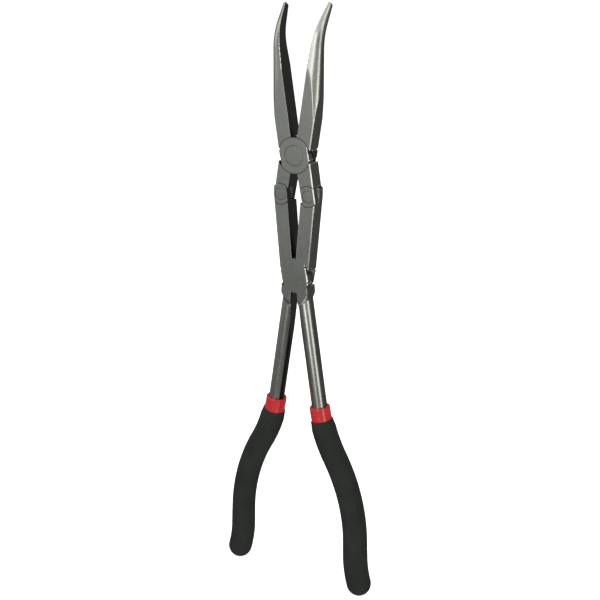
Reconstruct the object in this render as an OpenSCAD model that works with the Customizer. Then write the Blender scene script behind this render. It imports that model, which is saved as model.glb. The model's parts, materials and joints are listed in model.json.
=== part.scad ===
// Double-jointed long-reach pliers with bent noses, drawn partly open.
// Two jaws cross at the jaw pivot and two handles cross at the handle pivot;
// each jaw tail meets the opposite handle arm at an elbow pivot.
// Frame: +Z from the grips to the nose tips, +X to the right, +Y to the back.
// The origin is the bottom centre of the whole tool's box.

/* [Pose] */
// Angle of each jaw away from closed, as drawn
jaw_open = 9; // [4:0.5:16]

/* [Linkage] */
// Jaw pivot to elbow pivot
tail_len = 23.25; // [22:0.25:25]
// Handle pivot to elbow pivot
arm_len = 46.2; // [42:0.5:52]
// Angle of each jaw tail from the centre line when closed
tail_angle = 12.6; // [12:0.1:14]

/* [Laps] */
// Thickness of the forgings across both laps
forging_t = 9.8; // [8:0.2:12]
// Radius of the round shoulders at both main pivots
boss_r = 9.8; // [9:0.1:10.5]
// Width across the flats at the jaw pivot
jaw_boss_w = 17.5; // [16.5:0.1:18.4]
// Width across the flats at the handle pivot
handle_boss_w = 16.4; // [15.5:0.1:18]
// Radius of the rounded ends at the elbows
elbow_r = 5.75; // [5:0.05:6]
// Gap between lap faces
lap_gap = 0.1; // [0.05:0.05:0.3]
// Gap between a rounded end and its seat
seat_gap = 0.15; // [0.1:0.05:0.4]
// Width of the broken edges
edge_break = 0.5; // [0.2:0.1:0.8]
// Depth of the V notches beside the main pivots
notch_depth = 0.9; // [0.5:0.1:1.2]

/* [Noses] */
// Length of a nose from the jaw pivot, measured along its middle
nose_len = 81.7; // [74:0.5:95]
// Width of a nose at its root
nose_w = 9.05; // [8.5:0.05:9.5]
// Distance of each gripping face from the closed centre plane
relief = 0.36; // [0.3:0.02:0.6]
// Distance from the jaw pivot to the start of the bend
bend_start = 56.2; // [50:0.5:60]
// Radius of the bend
bend_r = 25; // [20:1:40]
// Angle of the bend
bend_angle = 33; // [20:1:40]
// Radius of the round back of a nose at its root
round_root_r = 7.4; // [7:0.1:8]
// Radius of the round back of a nose at its tip
round_tip_r = 1.66; // [1.2:0.02:2.5]

/* [Pins] */
// Radius of the jaw rivet's heads
jaw_head_r = 5.45; // [4.5:0.05:6]
// Radius of the handle rivet's heads
handle_head_r = 5; // [4.5:0.05:6]
// Radius of the elbow rivets' heads
elbow_head_r = 3.15; // [2.8:0.05:3.4]
// Running clearance round a pin
pin_clear = 0.05; // [0.02:0.01:0.08]
// Clearance round the left elbow rivet, in the jaw tail
open_clear = 0.25; // [0.2:0.05:0.4]

/* [Rods and grips] */
// Diameter of the handle rods
rod_d = 9; // [8.5:0.1:9.8]
// Handle pivot to the red sleeve's rim, along the rod
rod_len = 79; // [65:1:95]
// Outside diameter of the red sleeve
sleeve_d = 12; // [11.4:0.1:12.4]
// Visible length of the red sleeve
sleeve_show = 8; // [5:0.5:12]
// Diameter of the grip at its top edge
grip_top_d = 13.2; // [12.8:0.1:13.6]
// Diameter of the grip through its curves
grip_mid_d = 14.4; // [14:0.1:15.2]
// Diameter of the grip's lower end
grip_end_d = 14.7; // [14.5:0.1:16]
// Length of the grip's last stretch, which flares out to its end ball
grip_last = 17; // [12:1:24]

/* [Hidden] */
$fn = 96;

half_t = forging_t / 2;
lap_face = lap_gap / 2;
far = 60;                       // longer than any cut needs

// The four pivots, from the lengths of the linkage
tail_lean = tail_angle + jaw_open;
arm_lean = asin(tail_len * sin(tail_lean) / arm_len);
arm_lean_closed = asin(tail_len * sin(tail_angle) / arm_len);
pivot_span = tail_len * cos(tail_lean) + arm_len * cos(arm_lean);
elbow_in_jaw = [-tail_len * sin(tail_angle), -tail_len * cos(tail_angle)];

// Jaw outline, from the jaw pivot, with the nose towards +Z and closed on X = 0
seat_r = boss_r + seat_gap;
elbow_seat_r = elbow_r + seat_gap;
centre_gap = 0.4;               // each tail's inner edge from the closed centre plane, at its root
centre_gap_low = 0.95;          // and at the elbow
elbow_side_z = 3.3;             // the elbow's straight sides end this far past its pivot
tail_out_top = [-9.05, -4.1];
tail_out_low = [elbow_in_jaw[0] - 3.95, elbow_in_jaw[1]];
jaw_notch_z = 4.3;

// Nose: a bar inside a leaning cone, then a bent horn of D sections
cone_root = 20;                 // height at which round_root_r holds
cone_root_x = 4.25;
cone_tip_x = 0.7;
cone_lean = atan((cone_tip_x - cone_root_x) / (nose_len - cone_root));
bend_arc = bend_r * bend_angle * PI / 180;
horn_steps = 4;
horn_step = 0.1;                // how far the horn sits inside the bar's round back
tip_round = 1.1;                // length of the rounded tip
tip_shrink = 0.7;               // how much smaller its end is
slice_t = 0.02;
function nose_at(s) = (s - cone_root) / (nose_len - cone_root);
function round_r(s) = round_root_r + (round_tip_r - round_root_r) * nose_at(s);
function round_x(s) = cone_root_x + (cone_tip_x - cone_root_x) * nose_at(s);

// Handle outline, from the handle pivot, with the arm along +Z
arm_out_low = [-8.2, 5.2];
arm_out_top = [-4.4, arm_len];
arm_broken = 0.84;              // share of the arm's outer edge that is broken
arm_in_low = [0.4, 9];
arm_in_top = [4.25, arm_len];
arm_out_turn = 0.6;             // how much the arm's outer side turns in past the elbow's pivot
handle_notch_z = 4.5;
handle_gap = 0.15;              // each arm from the centre plane when closed
shoulder_gap = 1.2;             // each shoulder and rod from it

// Rod and shoulder
rod_r = rod_d / 2;
rod_off = 2.5;                  // rod's axis from the handle pivot, square to it
rod_lean = arm_lean_closed - 4.37; // rod against the line of the arm
shoulder_end = 21;              // where the cone under the shoulder is lost in the rod
shoulder_in = 2;                // cone's axis from the rod's, towards the other handle
shoulder_low_r = 2.2;
shoulder_top_r = 14.8;
shoulder_side = 5.3;            // outer side of the shoulder from the rod's axis
shoulder_side_z = 8.6;          // it leans in below this
shoulder_sink = 0.2;            // how far its sides end inside the rod

// The curves under the sleeve's rim: out, back, a straight stretch, and out again at the end
out_bend_r = 88;
out_bend = 20.9;
back_bend_r = 108;
back_bend = 27.7;
grip_straight = 12;
last_bend_r = 67.5;
last_bend = grip_last / last_bend_r * 180 / PI;
sleeve_turn = sleeve_show / out_bend_r * 180 / PI;
sleeve_rim = 0.5;
rim_over = 0.2;
grip_flare = 5;                 // length over which the grip's top edge swells
flare_turn = grip_flare / out_bend_r * 180 / PI;
run_overlap = 0.4;
run_step = 0.12;
tang_gap = 6;                   // rod's end to the centre of the grip's end ball
tang_bend = (grip_last - tang_gap) / last_bend_r * 180 / PI;

// Pins inside
jaw_shank_r = 4;
jaw_head_t = 2.2;
handle_shank_r = 3.6;
handle_head_t = 2.2;
elbow_shank_r = 2.4;
elbow_head_t = 1.6;

// Height of the handle pivot over the lowest point of the grips
run_lean = arm_lean - rod_lean;
mid_lean = run_lean + out_bend;
low_lean = mid_lean - back_bend;
end_lean = low_lean + last_bend;
run_drop = rod_len * cos(run_lean) - rod_off * sin(run_lean)
    + out_bend_r * (sin(mid_lean) - sin(run_lean))
    + back_bend_r * (sin(mid_lean) - sin(low_lean))
    + grip_straight * cos(low_lean)
    + last_bend_r * (sin(end_lean) - sin(low_lean));
handle_z = run_drop + grip_end_d / 2;
jaw_z = handle_z + pivot_span;

// How far the tips reach back, which sets the laps off the middle of the depth
tip_straight = nose_len - tip_round - bend_start - bend_arc;
tip_back = bend_r * (1 - cos(bend_angle)) + tip_straight * sin(bend_angle)
    + (round_r(nose_len - tip_round) - horn_step) * cos(bend_angle);
lap_y = (grip_end_d / 2 - tip_back) / 2;

steel = [0.42, 0.43, 0.4];
rivet_steel = [0.5, 0.5, 0.47];
red = [0.78, 0.13, 0.15];
black = [0.16, 0.17, 0.16];

// ---- shared shapes ----

// A flat outline in X and Z, from y0 back to y1
module slab(y0, y1) {
    translate([0, y1, 0])
        rotate([90, 0, 0])
            linear_extrude(height = y1 - y0)
                children();
}

// A round bar along Y, from y0 to y1
module pin(r, y0, y1) {
    translate([0, y1, 0])
        rotate([90, 0, 0])
            cylinder(r = r, h = y1 - y0);
}

// A 45 degree cut along the straight edge from a to b, on both faces
module break_edge(a, b) {
    run = b - a;
    for (y = [-half_t, half_t])
        translate([a[0], y, a[1]])
            rotate([0, atan2(run[0], run[1]), 0])
                rotate([0, 0, 45])
                    translate([0, 0, norm(run) / 2])
                        cube([edge_break * sqrt(2), edge_break * sqrt(2), norm(run)], center = true);
}

// A V notch through both laps, opening towards +X or -X
module v_notch(x, z) {
    translate([x, 0, z])
        rotate([0, 45, 0])
            cube([notch_depth * sqrt(2), forging_t + 2, notch_depth * sqrt(2)], center = true);
}

// A round boss with flat sides
module boss_outline(width) {
    intersection() {
        circle(r = boss_r);
        square([width, 2 * boss_r + 2], center = true);
    }
}

// A rivet: a shank and two flush heads
module rivet(head_r, shank_r, head_t) {
    pin(head_r, -half_t, head_t - half_t);
    pin(shank_r, head_t - half_t - 0.5, half_t - head_t + 0.5);
    pin(head_r, half_t - head_t, half_t);
}

// The hole for a rivet in the front or back lap; side is -1 for the front
module rivet_hole(head_r, shank_r, head_t, clear, side) {
    deep = head_t + (clear > 0 ? pin_clear : 0);
    pin(shank_r + clear, -half_t - 1, half_t + 1);
    pin(head_r + clear, side < 0 ? -half_t - 1 : half_t - deep, side < 0 ? deep - half_t : half_t + 1);
}

// Clears the front lap (side -1) or the back lap (side 1) within radius r
module lap_cut(r, side) {
    pin(r, side < 0 ? -half_t - 1 : -lap_face, side < 0 ? lap_face : half_t + 1);
}

// ---- placing ----

// side is -1 for the left piece and 1 for the right one
module at_jaw_pivot(side) {
    translate([0, lap_y, jaw_z])
        rotate([0, side * jaw_open, 0])
            children();
}

module at_handle_pivot(side) {
    translate([0, lap_y, handle_z])
        rotate([0, -side * arm_lean, 0])
            children();
}

// side is -1 for the left elbow and 1 for the right one
module at_elbow(side) {
    translate([side * tail_len * sin(tail_lean), lap_y, handle_z + arm_len * cos(arm_lean)])
        children();
}

// ---- jaws ----

// A tail runs from the jaw pivot to the elbow, and ends round
module tail_outline() {
    polygon([
        [-centre_gap, -4],
        [-centre_gap_low, elbow_in_jaw[1]],
        [-centre_gap_low, elbow_in_jaw[1] - elbow_side_z],
        [tail_out_low[0], elbow_in_jaw[1] - elbow_side_z],
        tail_out_low,
        tail_out_top,
        [-7, -3]
    ]);
    intersection() {
        translate(elbow_in_jaw)
            circle(r = elbow_r);
        translate([tail_out_low[0], elbow_in_jaw[1] - elbow_r])
            square([-centre_gap_low - tail_out_low[0], 2 * elbow_r]);
    }
}

// A D section of the horn at distance s along the nose
module horn_slice(s, shrink = 0) {
    intersection() {
        translate([round_x(s), 0, 0])
            cylinder(r = round_r(s) - horn_step - shrink, h = slice_t, $fn = 48);
        translate([relief, -far / 2, -1])
            cube([far, far, 2]);
    }
}

// Moves to distance s along the middle of the nose
module along_nose(s) {
    turned = min(max(s - bend_start, 0) / bend_arc, 1) * bend_angle;
    after = max(s - bend_start - bend_arc, 0);
    before = min(s, bend_start);
    translate([0,
        bend_r * (1 - cos(turned)) + after * sin(turned),
        before + bend_r * sin(turned) + after * cos(turned)])
        rotate([-turned, 0, 0])
            children();
}

module placed_slice(s, shrink = 0) {
    along_nose(s)
        horn_slice(s, shrink);
}

// The bent end: a horn of D sections with a rounded tip
module horn() {
    for (i = [0 : horn_steps - 1])
        hull() {
            placed_slice(bend_start + bend_arc * i / horn_steps);
            placed_slice(bend_start + bend_arc * (i + 1) / horn_steps);
        }
    hull() {
        placed_slice(bend_start + bend_arc);
        placed_slice(nose_len - tip_round);
        placed_slice(nose_len - slice_t, tip_shrink);
    }
}

// The straight part: a bar whose back is turned down to a leaning cone
module nose_bar() {
    intersection() {
        difference() {
            slab(-half_t, half_t)
                translate([relief, 0])
                    square([nose_w - relief, bend_start]);
            break_edge([nose_w, -2], [nose_w, bend_start]);
        }
        translate([round_x(-5), 0, -5])
            rotate([0, cone_lean, 0])
                cylinder(r1 = round_r(-5), r2 = round_r(bend_start + 5), h = bend_start + 10);
    }
}

// A jaw with its nose towards +X and no laps cut yet
module jaw_blank() {
    difference() {
        union() {
            nose_bar();
            slab(-half_t, half_t)
                boss_outline(jaw_boss_w);
            slab(-half_t, half_t)
                tail_outline();
        }
        break_edge(tail_out_top, tail_out_low);
        break_edge([-jaw_boss_w / 2, -boss_r / 2], [-jaw_boss_w / 2, boss_r / 2]);
        break_edge([jaw_boss_w / 2, -boss_r / 2], [jaw_boss_w / 2, boss_r / 2]);
        for (x = [-1, 1], z = [-1, 1])
            v_notch(x * (jaw_boss_w / 2 + 0.25), z * jaw_notch_z);
    }
}

// side is the side of the nose, -1 or 1; lap is -1 for the front lap and 1 for the back one
module jaw(side, lap, pivot_clear, elbow_clear) {
    at_jaw_pivot(side)
        mirror([side < 0 ? 1 : 0, 0, 0]) {
            horn();
            difference() {
                difference() {
                    jaw_blank();
                    lap_cut(seat_r, -lap);
                    translate([elbow_in_jaw[0], 0, elbow_in_jaw[1]])
                        lap_cut(elbow_seat_r, -lap);
                }
                rivet_hole(jaw_head_r, jaw_shank_r, jaw_head_t, pivot_clear, lap);
                translate([elbow_in_jaw[0], 0, elbow_in_jaw[1]])
                    rivet_hole(elbow_head_r, elbow_shank_r, elbow_head_t, elbow_clear, lap);
            }
        }
}

module jaw_left() {
    color(steel)
        jaw(-1, -1, 0, pin_clear);
}

module jaw_right() {
    color(steel)
        jaw(1, 1, pin_clear, open_clear);
}

// ---- handles ----

// Moves to the head of the rod, which runs along -Z
module at_rod() {
    rotate([0, rod_lean, 0])
        translate([rod_off, 0, 0])
            children();
}

// Round bar along -Z that turns by turn towards +X, or towards -X where turn is negative.
// It starts a little early, inside the bar above it.
module arc_run(bend, turn, r) {
    early = run_overlap / bend * 180 / PI;
    mirror([turn < 0 ? 1 : 0, 0, 0])
        translate([bend, 0, 0])
            rotate([-90, 0, 180])
                rotate([0, 0, -early])
                    rotate_extrude(angle = abs(turn) + early, $fn = 180)
                        translate([bend, 0])
                            circle(r = r, $fn = 48);
}

// Moves to the end of such an arc
module after_arc(bend, turn) {
    way = turn < 0 ? -1 : 1;
    translate([way * bend * (1 - cos(turn)), 0, -bend * sin(abs(turn))])
        rotate([0, -turn, 0])
            children();
}

// Round bar that turns by turn and ends in a ball
module ball_run(turn, r) {
    arc_run(last_bend_r, turn, r);
    after_arc(last_bend_r, turn)
        sphere(r = r - run_step);
}

// All the curves from the sleeve's rim down, ending short of the grip's end.
// Each stretch is a hair wider than the one above it, which it overlaps.
module s_run(r) {
    arc_run(out_bend_r, out_bend, r);
    after_arc(out_bend_r, out_bend) {
        arc_run(back_bend_r, -back_bend, r + run_step);
        after_arc(back_bend_r, -back_bend) {
            translate([0, 0, -grip_straight])
                cylinder(r = r + 2 * run_step, h = grip_straight + run_overlap);
            translate([0, 0, -grip_straight])
                ball_run(tang_bend, r + 3 * run_step);
        }
    }
}

// The arm runs from the handle pivot up to the elbow, and ends round
module arm_outline() {
    polygon([
        arm_out_low,
        arm_out_top,
        [arm_out_top[0] + arm_out_turn, arm_len + elbow_side_z],
        [arm_in_top[0], arm_len + elbow_side_z],
        arm_in_top,
        arm_in_low,
        [arm_in_low[0], 3],
        [-7, 3]
    ]);
    intersection() {
        translate([0, arm_len])
            circle(r = elbow_r);
        translate([arm_out_top[0] + arm_out_turn, arm_len - elbow_r])
            square([arm_in_top[0] - arm_out_top[0] - arm_out_turn, 2 * elbow_r]);
    }
}

// The shoulder under the pivot leans in to the rod's width, and a cone fades its flat faces
module shoulder() {
    low = shoulder_end - 4;
    at_rod()
        intersection() {
            difference() {
                slab(-half_t, half_t)
                    polygon([
                        [shoulder_sink - rod_r, -shoulder_end],
                        [rod_r - shoulder_sink, -shoulder_end],
                        [rod_r - shoulder_sink, -low],
                        [shoulder_side, -shoulder_side_z],
                        [shoulder_side, -4.5],
                        [shoulder_sink - rod_r, -4.5]
                    ]);
                break_edge([rod_r - shoulder_sink, -low], [shoulder_side, -shoulder_side_z]);
                break_edge([shoulder_side, -shoulder_side_z], [shoulder_side, -4]);
            }
            translate([-shoulder_in, 0, -shoulder_end])
                cylinder(r1 = shoulder_low_r, r2 = shoulder_top_r, h = shoulder_end);
        }
}

// The right handle in its own frame: pivot at the origin, front lap, arm along +Z
module handle(pivot_clear) {
    difference() {
        union() {
            slab(-half_t, half_t)
                boss_outline(handle_boss_w);
            slab(-half_t, half_t)
                arm_outline();
            shoulder();
            at_rod() {
                translate([0, 0, -rod_len])
                    cylinder(r = rod_r - run_step, h = rod_len - 9);
                translate([0, 0, -rod_len])
                    s_run(rod_r);
            }
        }
        break_edge(arm_out_low, arm_out_low + arm_broken * (arm_out_top - arm_out_low));
        break_edge([-handle_boss_w / 2, -boss_r / 2], [-handle_boss_w / 2, boss_r / 2]);
        break_edge([handle_boss_w / 2, -boss_r / 2], [handle_boss_w / 2, boss_r / 2]);
        for (x = [-1, 1], z = [-1, 1])
            v_notch(x * (handle_boss_w / 2 + 0.1), z * handle_notch_z);
        // Each handle stays on its own side of the centre plane when closed
        rotate([0, arm_lean_closed, 0]) {
            translate([-handle_gap, -far / 2, boss_r])
                cube([far, far, far]);
            translate([shoulder_gap - far, -far / 2, -far - boss_r])
                cube([far, far, far]);
        }
        lap_cut(seat_r, 1);
        rivet_hole(handle_head_r, handle_shank_r, handle_head_t, pivot_clear, -1);
        translate([0, 0, arm_len]) {
            lap_cut(elbow_seat_r, 1);
            rivet_hole(elbow_head_r, elbow_shank_r, elbow_head_t, 0, -1);
        }
    }
}

// The left handle is the right one turned half round, which puts its laps at the back
module handle_side(side) {
    at_handle_pivot(side)
        rotate([0, 0, side < 0 ? 180 : 0])
            children();
}

module handle_left() {
    color(steel)
        handle_side(-1)
            handle(pin_clear);
}

module handle_right() {
    color(steel)
        handle_side(1)
            handle(0);
}

// ---- rivets ----

module jaw_rivet() {
    color(rivet_steel)
        translate([0, lap_y, jaw_z])
            rivet(jaw_head_r, jaw_shank_r, jaw_head_t);
}

module handle_rivet() {
    color(rivet_steel)
        translate([0, lap_y, handle_z])
            rivet(handle_head_r, handle_shank_r, handle_head_t);
}

module elbow_rivet_left() {
    color(rivet_steel)
        at_elbow(-1)
            rivet(elbow_head_r, elbow_shank_r, elbow_head_t);
}

module elbow_rivet_right() {
    color(rivet_steel)
        at_elbow(1)
            rivet(elbow_head_r, elbow_shank_r, elbow_head_t);
}

// ---- grips ----

// The red sleeve covers the rod from its rim to past the rod's end
module sleeve(side) {
    color(red)
        handle_side(side)
            at_rod()
                translate([0, 0, -rod_len])
                    difference() {
                        s_run(sleeve_d / 2);
                        s_run(rod_r);
                        rim_break(sleeve_d / 2, sleeve_rim);
                    }
}

// Breaks the top edge of a sleeve of radius r, whose rim stands run_overlap over the origin
module rim_break(r, size) {
    low = run_overlap - size - rim_over;
    high = run_overlap + 1;
    difference() {
        translate([0, 0, low])
            cylinder(r = r + 2, h = high - low);
        translate([0, 0, low])
            cylinder(r1 = r + rim_over, r2 = r + rim_over - high + low, h = high - low);
    }
}

module sleeve_left() {
    sleeve(-1);
}

module sleeve_right() {
    sleeve(1);
}

// The black grip starts below the sleeve's visible band, swells, and follows the S bend
module grip_skin() {
    after_arc(out_bend_r, sleeve_turn)
        translate([0, 0, -grip_flare])
            cylinder(r1 = grip_mid_d / 2 - run_step, r2 = grip_top_d / 2, h = grip_flare);
    after_arc(out_bend_r, sleeve_turn + flare_turn)
        arc_run(out_bend_r, out_bend - sleeve_turn - flare_turn, grip_mid_d / 2);
    after_arc(out_bend_r, out_bend) {
        arc_run(back_bend_r, -back_bend, grip_mid_d / 2 + run_step);
        after_arc(back_bend_r, -back_bend)
            translate([0, 0, -grip_straight]) {
                cylinder(r1 = grip_end_d / 2 - run_step, r2 = grip_mid_d / 2 + 2 * run_step,
                    h = grip_straight + run_overlap);
                ball_run(last_bend, grip_end_d / 2);
            }
    }
}

module grip(side) {
    color(black)
        handle_side(side)
            at_rod()
                translate([0, 0, -rod_len])
                    difference() {
                        grip_skin();
                        s_run(sleeve_d / 2);
                    }
}

module grip_left() {
    grip(-1);
}

module grip_right() {
    grip(1);
}

jaw_left();
jaw_right();
handle_left();
handle_right();
jaw_rivet();
handle_rivet();
elbow_rivet_left();
elbow_rivet_right();
sleeve_left();
sleeve_right();
grip_left();
grip_right();
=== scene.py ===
"""Looks for the long-reach bent-nose pliers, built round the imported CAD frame.

Lengths in the shape code are millimetres in each forging's own frame: its main pivot at the
origin, +Z along it, -Y to the front. place_forging() moves them to the row frame, in metres.
"""

import json
import math

import bpy
import numpy as np
from mathutils import Matrix, Vector


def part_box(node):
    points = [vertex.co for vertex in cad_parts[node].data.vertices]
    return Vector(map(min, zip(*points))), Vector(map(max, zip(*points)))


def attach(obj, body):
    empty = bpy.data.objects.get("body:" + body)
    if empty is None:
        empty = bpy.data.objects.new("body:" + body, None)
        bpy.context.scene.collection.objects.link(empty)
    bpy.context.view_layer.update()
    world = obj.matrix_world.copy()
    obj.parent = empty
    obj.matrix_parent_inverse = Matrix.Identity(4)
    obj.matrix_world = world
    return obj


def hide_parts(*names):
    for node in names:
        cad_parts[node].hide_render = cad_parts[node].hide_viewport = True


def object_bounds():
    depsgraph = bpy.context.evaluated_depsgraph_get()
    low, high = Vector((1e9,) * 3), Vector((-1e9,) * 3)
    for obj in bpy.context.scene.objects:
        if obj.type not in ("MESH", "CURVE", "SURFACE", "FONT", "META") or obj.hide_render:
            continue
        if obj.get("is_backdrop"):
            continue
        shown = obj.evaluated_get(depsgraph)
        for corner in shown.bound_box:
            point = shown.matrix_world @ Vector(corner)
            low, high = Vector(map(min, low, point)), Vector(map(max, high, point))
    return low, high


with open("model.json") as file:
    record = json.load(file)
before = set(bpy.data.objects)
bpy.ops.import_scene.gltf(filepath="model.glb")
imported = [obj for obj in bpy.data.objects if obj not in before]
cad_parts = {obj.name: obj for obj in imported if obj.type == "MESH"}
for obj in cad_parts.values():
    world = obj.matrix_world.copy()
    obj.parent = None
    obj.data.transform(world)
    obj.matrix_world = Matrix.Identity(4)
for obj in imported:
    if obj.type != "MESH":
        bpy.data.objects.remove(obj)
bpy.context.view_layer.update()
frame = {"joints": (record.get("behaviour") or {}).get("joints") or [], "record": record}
MM = 0.001
JOINTS = {j["name"]: Vector(j["pos_m"]) for j in frame["joints"]}
HANDLE_PIVOT = JOINTS["handle_pivot"]
JAW_PIVOT = JOINTS["jaw_pivot"]
ELBOW = JOINTS["elbow_pivot_right"]
ELBOW_LEFT = Vector((2 * HANDLE_PIVOT.x - ELBOW.x, ELBOW.y, ELBOW.z))

# ---------------------------------------------------------------- camera

# The photograph's view: 30 degrees to the right of the front and 18 degrees from above
CAM_AZIMUTH, CAM_ELEVATION, CAM_ROLL = (math.radians(a) for a in (30.0, 18.159, 0.134))
CAM_DISTANCE = 0.56343
CAM_AIM = HANDLE_PIVOT + Vector((0.001226, 0.0, -0.015313))
CAM_SENSOR, CAM_LENS = 36.0, 60.0       # mm
CAM_NEAR, CAM_FAR = 0.05, 60.0


def add_camera():
    ca, sa = math.cos(CAM_AZIMUTH), math.sin(CAM_AZIMUTH)
    ce, se = math.cos(CAM_ELEVATION), math.sin(CAM_ELEVATION)
    back = Vector((sa * ce, -ca * ce, se))
    right = Vector((ca, sa, 0.0))
    up = back.cross(right)
    cr, sr = math.cos(CAM_ROLL), math.sin(CAM_ROLL)
    right, up = cr * right + sr * up, cr * up - sr * right
    data = bpy.data.cameras.new("camera")
    data.sensor_width, data.lens = CAM_SENSOR, CAM_LENS
    data.clip_start, data.clip_end = CAM_NEAR, CAM_FAR
    cam = bpy.data.objects.new("camera", data)
    bpy.context.scene.collection.objects.link(cam)
    pose = Matrix((right, up, back)).transposed().to_4x4()
    pose.translation = CAM_AIM + CAM_DISTANCE * back
    cam.matrix_world = pose
    bpy.context.scene.camera = cam


add_camera()

# ---------------------------------------------------------------- sizes, in mm

def half_size(node, axis):
    """Half the size of a CAD node's box along an axis."""
    low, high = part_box(node)
    return (high[axis] - low[axis]) / MM / 2


# The linkage, as drawn and closed
arm = ELBOW - HANDLE_PIVOT
tail = JAW_PIVOT - ELBOW
ARM_LEN = arm.length / MM
ARM_LEAN = math.atan2(arm.x, arm.z)
TAIL_LEN = tail.length / MM
TAIL_ANGLE = math.radians(12.6)
JAW_OPEN = math.atan2(-tail.x, tail.z) - TAIL_ANGLE
ARM_LEAN_CLOSED = math.asin(TAIL_LEN * math.sin(TAIL_ANGLE) / ARM_LEN)
EX, EZ = -TAIL_LEN * math.sin(TAIL_ANGLE), -TAIL_LEN * math.cos(TAIL_ANGLE)   # a jaw's elbow

# Laps, edges and bosses
FRONT, BACK = -1, 1                     # the lap that a forging keeps
HALF_T = half_size("jaw_rivet", 1)
LAP = 0.05                              # each lap's face from the middle plane
EDGE = 0.45                             # flat cut along the forgings' outer edges
FINE = 0.05                             # rounding of most other edges
BOSS_R, SEAT_R = 9.8, 9.95              # a boss, and the seat that the other half has for it
ELBOW_R, ELBOW_SEAT_R = 5.75, 5.9
BOSS_CORNER, BAR_CORNER = 0.3, 0.5      # rounding where straight sides meet a round end
BAR_ROOT = 3.0                          # tails and arms start this far from their pivot
ELBOW_SIDE = 3.3                        # and their straight sides end this far past the elbow
NOTCH = 0.9                             # depth of the V notches beside the main pivots

# Rivets
JAW_HEAD_R, JAW_SHANK_R, JAW_HEAD_T = half_size("jaw_rivet", 0), 4.0, 2.2
HANDLE_HEAD_R, HANDLE_SHANK_R, HANDLE_HEAD_T = half_size("handle_rivet", 0), 3.6, 2.2
ELBOW_HEAD_R, ELBOW_SHANK_R, ELBOW_HEAD_T = half_size("elbow_rivet_left", 0), 2.4, 1.6
HEAD_GAP = 0.05                         # clearance round heads and shanks

# Jaws, closed on X = 0
NOSE_LEN, NOSE_W, RELIEF = 81.7, 9.05, 0.36       # relief: gripping face to the closed centre plane
BEND_START, BEND_R, BEND = 56.2, 25.0, math.radians(33)
CONE_ROOT = 20.0                                  # height at which the half-round's root size holds
NOSE_DEEP, NOSE_WIDE = (7.4, 1.6), (11.3, 1.95)   # the half-round's two radii, at its root and tip
NOSE_RIDGE, NOSE_EDGE, TIP_ROUND = 0.15, 0.12, 1.0     # rounding: half-round to flats, inner face, tip
JAW_BOSS_W, JAW_NOTCH_Z = 17.5, 4.3
JAW_NOTCH_X = JAW_BOSS_W / 2 + 0.25
TAIL_OUT = (EX - 3.95, EZ), (-9.05, -4.1)
TAIL_IN = (-0.95, EZ), (-0.4, -4.0)

# Handles, with the arm along +Z
HANDLE_BOSS_W, HANDLE_NOTCH_Z = 16.4, 4.5
HANDLE_NOTCH_X = HANDLE_BOSS_W / 2 + 0.1
HANDLE_SEAT_R = BOSS_R + 0.04           # drawn closer than the CAD's, as the photo's hardly shows
ARM_OUT = (-8.2, 5.2), (-4.4, ARM_LEN), (-3.8, ARM_LEN + ELBOW_SIDE)
ARM_IN = (0.4, 9.0), (4.25, ARM_LEN)
ARM_GAP, ARM_GAP_CORNER = 0.15, 0.3     # each arm from the centre plane when closed
LOW_GAP, LOW_GAP_CORNER = 1.2, 0.1      # and each shoulder

# Rods, along the rod's own axis, and the flat shoulders that they grow out of
ROD_R, ROD_OFF, ROD_LEN = 4.5, 2.5, 79.0          # ROD_OFF: axis to handle pivot, sideways
ROD_LEAN = ARM_LEAN_CLOSED - math.radians(4.37)
ROD_TOP, ROD_UNDER, ROD_END = 9.0, 10.0, 0.5      # its top, its length in the sleeve, its rounding
SHOULDER_IN, SHOULDER_OUT = 4.3, 5.3
SHOULDER_TOP, SHOULDER_LOW = 4.5, 21.0
SHOULDER_TAPER, SHOULDER_TURN = ((4.3, -17.0), (5.3, -8.6)), 2.5
FADE_X, FADE_R, FADE_SLOPE = 2.0, 2.2, 0.6        # the cone that ends a shoulder in an arch
FADE_EDGE, ROD_FILLET = 0.5, 0.3

# Sleeves and grips
RUN = ((88.0, 20.9), (108.0, -27.7), (None, 12.0), (67.5, 14.43))   # bend radius and turn, or a straight
SLEEVE_R, SLEEVE_SHOW, SLEEVE_RIM, SLEEVE_FOOT = 6.0, 8.0, 0.6, 0.25
GRIP_TOP_R, GRIP_MID_R, GRIP_END_R, GRIP_LIP = 6.6, 7.2, 7.35, 0.45
GRIP_SWELL, GRIP_FLARE_AT, GRIP_FLARE = 5.5, 78.0, 20.0
DIP = 0.02                              # each layer reaches this far into what it coats

# ---------------------------------------------------------------- fields

# A field gives each point's distance from a shape's surface, or nearly so, and is negative inside.

def meet(a, b, r=0.0):
    """Where two fields overlap, with their shared edge rounded to radius r."""
    if r <= 0:
        return np.maximum(a, b)
    u, v = np.maximum(a + r, 0), np.maximum(b + r, 0)
    return np.minimum(np.maximum(a, b), -r) + np.sqrt(u * u + v * v)


def bevel(a, b, leg):
    """Where two fields overlap, with their shared edge cut off flat."""
    return np.maximum(np.maximum(a, b), (a + b + leg) / math.sqrt(2))


def join(a, b, r):
    """Two fields together, with the inner corner between them filled to radius r."""
    u, v = np.maximum(r - a, 0), np.maximum(r - b, 0)
    return np.maximum(np.minimum(a, b), r) - np.sqrt(u * u + v * v)


def between(pair, k):
    """From the first of a pair to the second as k goes from 0 to 1."""
    return pair[0] + (pair[1] - pair[0]) * k


def right_of(x, z, a, b):
    """Distance to the right of the line from a up to b."""
    dx, dz = b[0] - a[0], b[1] - a[1]
    return ((x - a[0]) * dz - (z - a[1]) * dx) / math.hypot(dx, dz)


def disc(x, z, r, cx=0.0, cz=0.0):
    """A round rod along Y."""
    return np.hypot(x - cx, z - cz) - r


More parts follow.
